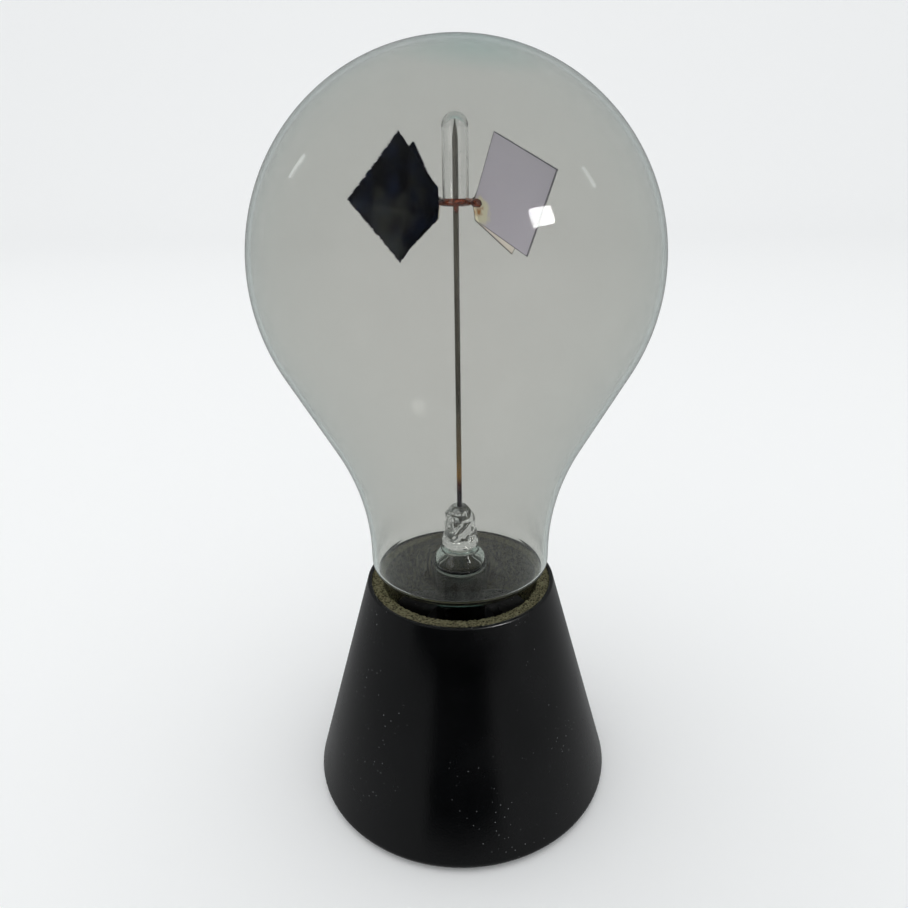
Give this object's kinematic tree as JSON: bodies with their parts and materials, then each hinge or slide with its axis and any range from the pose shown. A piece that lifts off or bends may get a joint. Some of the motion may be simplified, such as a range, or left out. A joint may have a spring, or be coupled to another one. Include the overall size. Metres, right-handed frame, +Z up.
{
  "type": "radiometer",
  "caption": "Light mill: blackened mica vanes turning on a needle inside an evacuated pear-shaped glass bulb, standing by its glass stem in a black turned cone.",
  "frame": {"origin": "middle of the underside, on the axis that the base, the bulb and the needle share", "axes": "+Z up along the axis, -Y towards the front, +X to the right"},
  "size_m": [0.08, 0.08, 0.1632],
  "materials": {
    "lacquered_wood": "black lacquer, satin",
    "felt": "pressed wool felt",
    "sponge_rubber": "open-cell, coarse",
    "black_rubber": "matte",
    "bulb_glass": "blown, clear with a faint grey tint",
    "stem_glass": "drawn and flame-worked, clear",
    "needle_steel": "ground, heat-tinted near the glass",
    "copper_wire": "oxidised copper",
    "mica": "cleaved sheet, silvery",
    "lampblack": "soot, dead matte",
    "shellac": "red-brown shellac, glossy"
  },
  "bodies": {
    "base": {"base_cone": "lacquered_wood", "base_pad": "felt", "foam_collar": "sponge_rubber", "stem_bush": "black_rubber"},
    "bulb": {"glass_bulb": "bulb_glass", "stem_tube": "stem_glass", "stem_pinch": "stem_glass", "needle": "needle_steel"},
    "rotor": {"pivot_cup": "stem_glass", "hub_ring": "copper_wire", "hub_cement": "shellac", "vane_arm_1": "copper_wire", "vane_1": "mica", "lampblack_1": "lampblack", "vane_cement_1": "shellac", "vane_arm_2": "copper_wire", "vane_2": "mica", "lampblack_2": "lampblack", "vane_cement_2": "shellac", "vane_arm_3": "copper_wire", "vane_3": "mica", "lampblack_3": "lampblack", "vane_cement_3": "shellac", "vane_arm_4": "copper_wire", "vane_4": "mica", "lampblack_4": "lampblack", "vane_cement_4": "shellac"}
  },
  "joints": [
    {"name": "bulb_lift", "type": "slide", "parent": "base", "child": "bulb", "axis": [0, 0, 1], "range_m": [0, 0.03]},
    {"name": "rotor_spin", "type": "hinge", "parent": "bulb", "child": "rotor", "pos_m": [0, 0, 0.15], "axis": [0, 0, 1], "continuous": true}
  ]
}
